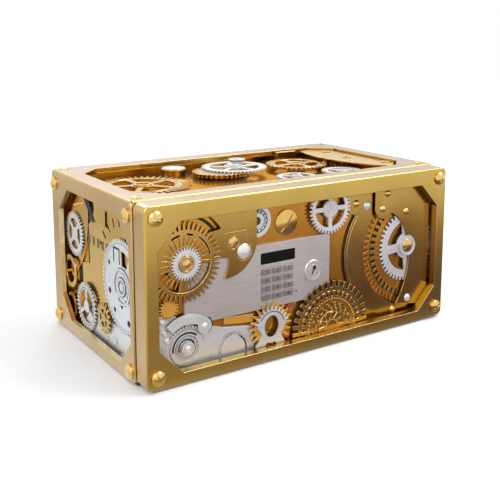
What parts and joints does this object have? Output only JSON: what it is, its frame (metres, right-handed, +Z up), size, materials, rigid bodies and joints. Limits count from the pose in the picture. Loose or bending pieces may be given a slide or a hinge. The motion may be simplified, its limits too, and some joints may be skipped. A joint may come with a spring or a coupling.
{
  "type": "jewelry safe",
  "caption": "Motorised jewelry safe in a gold case whose windows show layered fixed clockwork; keypad, key override and side-hung door.",
  "frame": {"origin": "middle of the outer box in plan, on the surface under the feet", "axes": "+X to the right seen from the front, +Y from the door to the back, +Z up"},
  "size_m": [0.574, 0.348, 0.263],
  "materials": {
    "gold_frame": "satin polished gold plating",
    "gold_ornament": "polished gold plating",
    "orange_gold": "polished deep gold plating",
    "silver_ornament": "fine silver plating, softly brushed",
    "brushed_panel": "brushed stainless steel",
    "display_glass": "black gloss",
    "key_metal": "satin grey",
    "lock_metal": "polished",
    "cabinet_steel": "fine black texture paint",
    "mechanism_steel": "zinc plated steel",
    "circuit_board": "green board",
    "battery": "black plastic",
    "suede": "dark brown suede",
    "foot_rubber": "matt"
  },
  "bodies": {
    "case": {"back_panel": "gold_frame", "base_plate": "cabinet_steel", "case_gears_gold": "gold_ornament", "case_gears_silver": "silver_ornament", "case_hinges": "gold_frame", "case_screws": "gold_ornament", "feet": "foot_rubber", "front_jamb": "gold_frame", "inner_cabinet": "cabinet_steel", "left_frame": "gold_frame", "lining": "suede", "ornament_backings": "orange_gold", "right_frame": "gold_frame", "shelf": "suede", "top_frame": "gold_frame"},
    "door": {"backing_plate": "orange_gold", "battery_pack": "battery", "bearing": "silver_ornament", "bolt_housing": "cabinet_steel", "bracket_plate": "gold_ornament", "cover_plate": "gold_ornament", "display_window": "display_glass", "door_frame": "gold_frame", "door_hinges": "gold_frame", "door_plate": "cabinet_steel", "eye_gear": "silver_ornament", "gold_fasteners": "gold_ornament", "half_gear": "silver_ornament", "keypad_board": "circuit_board", "lock_escutcheon": "lock_metal", "motor": "mechanism_steel", "ornate_gear": "gold_ornament", "ring_gear": "orange_gold", "ring_plate": "gold_ornament", "rotor_plate": "silver_ornament", "rotor_weight": "silver_ornament", "silver_rivets": "silver_ornament", "silver_spoked_gear": "silver_ornament", "small_gears": "orange_gold", "spiked_gear": "gold_ornament", "spoked_gear": "gold_ornament", "steel_panel": "brushed_panel", "toothed_disc": "silver_ornament"},
    "bolts": {"bolt_carriage": "mechanism_steel", "locking_bolts": "mechanism_steel"},
    "pinion": {"motor_pinion": "mechanism_steel"},
    "key_cylinder": {"key_plug": "lock_metal"},
    "button_1": {"key_1": "key_metal"},
    "button_10": {"key_10": "key_metal"},
    "button_11": {"key_11": "key_metal"},
    "button_12": {"key_12": "key_metal"},
    "button_2": {"key_2": "key_metal"},
    "button_3": {"key_3": "key_metal"},
    "button_4": {"key_4": "key_metal"},
    "button_5": {"key_5": "key_metal"},
    "button_6": {"key_6": "key_metal"},
    "button_7": {"key_7": "key_metal"},
    "button_8": {"key_8": "key_metal"},
    "button_9": {"key_9": "key_metal"}
  },
  "joints": [
    {"name": "door_hinge", "type": "hinge", "parent": "case", "child": "door", "pos_m": [0.273, -0.144, 0.13], "axis": [0, 0, 1], "range_deg": [0, 100]},
    {"name": "bolt_slide", "type": "slide", "parent": "door", "child": "bolts", "axis": [-1, 0, 0], "range_m": [0, 0.016]},
    {"name": "pinion_spin", "type": "hinge", "parent": "door", "child": "pinion", "pos_m": [-0.15036, -0.1168, 0.102], "axis": [0, 1, 0], "range_deg": [0, 92]},
    {"name": "key_turn", "type": "hinge", "parent": "door", "child": "key_cylinder", "pos_m": [0.0147, -0.15, 0.1205], "axis": [0, 1, 0], "range_deg": [0, 90]},
    {"name": "button_1_press", "type": "slide", "parent": "door", "child": "button_1", "axis": [0, 1, 0], "range_m": [0, 0.0008], "stiffness_N_per_m": 400},
    {"name": "button_2_press", "type": "slide", "parent": "door", "child": "button_2", "axis": [0, 1, 0], "range_m": [0, 0.0008], "stiffness_N_per_m": 400},
    {"name": "button_3_press", "type": "slide", "parent": "door", "child": "button_3", "axis": [0, 1, 0], "range_m": [0, 0.0008], "stiffness_N_per_m": 400},
    {"name": "button_4_press", "type": "slide", "parent": "door", "child": "button_4", "axis": [0, 1, 0], "range_m": [0, 0.0008], "stiffness_N_per_m": 400},
    {"name": "button_5_press", "type": "slide", "parent": "door", "child": "button_5", "axis": [0, 1, 0], "range_m": [0, 0.0008], "stiffness_N_per_m": 400},
    {"name": "button_6_press", "type": "slide", "parent": "door", "child": "button_6", "axis": [0, 1, 0], "range_m": [0, 0.0008], "stiffness_N_per_m": 400},
    {"name": "button_7_press", "type": "slide", "parent": "door", "child": "button_7", "axis": [0, 1, 0], "range_m": [0, 0.0008], "stiffness_N_per_m": 400},
    {"name": "button_8_press", "type": "slide", "parent": "door", "child": "button_8", "axis": [0, 1, 0], "range_m": [0, 0.0008], "stiffness_N_per_m": 400},
    {"name": "button_9_press", "type": "slide", "parent": "door", "child": "button_9", "axis": [0, 1, 0], "range_m": [0, 0.0008], "stiffness_N_per_m": 400},
    {"name": "button_10_press", "type": "slide", "parent": "door", "child": "button_10", "axis": [0, 1, 0], "range_m": [0, 0.0008], "stiffness_N_per_m": 400},
    {"name": "button_11_press", "type": "slide", "parent": "door", "child": "button_11", "axis": [0, 1, 0], "range_m": [0, 0.0008], "stiffness_N_per_m": 400},
    {"name": "button_12_press", "type": "slide", "parent": "door", "child": "button_12", "axis": [0, 1, 0], "range_m": [0, 0.0008], "stiffness_N_per_m": 400}
  ],
  "couplings": [
    {"joint": "pinion_spin", "follows": "bolt_slide", "rad_per_m": 100}
  ]
}
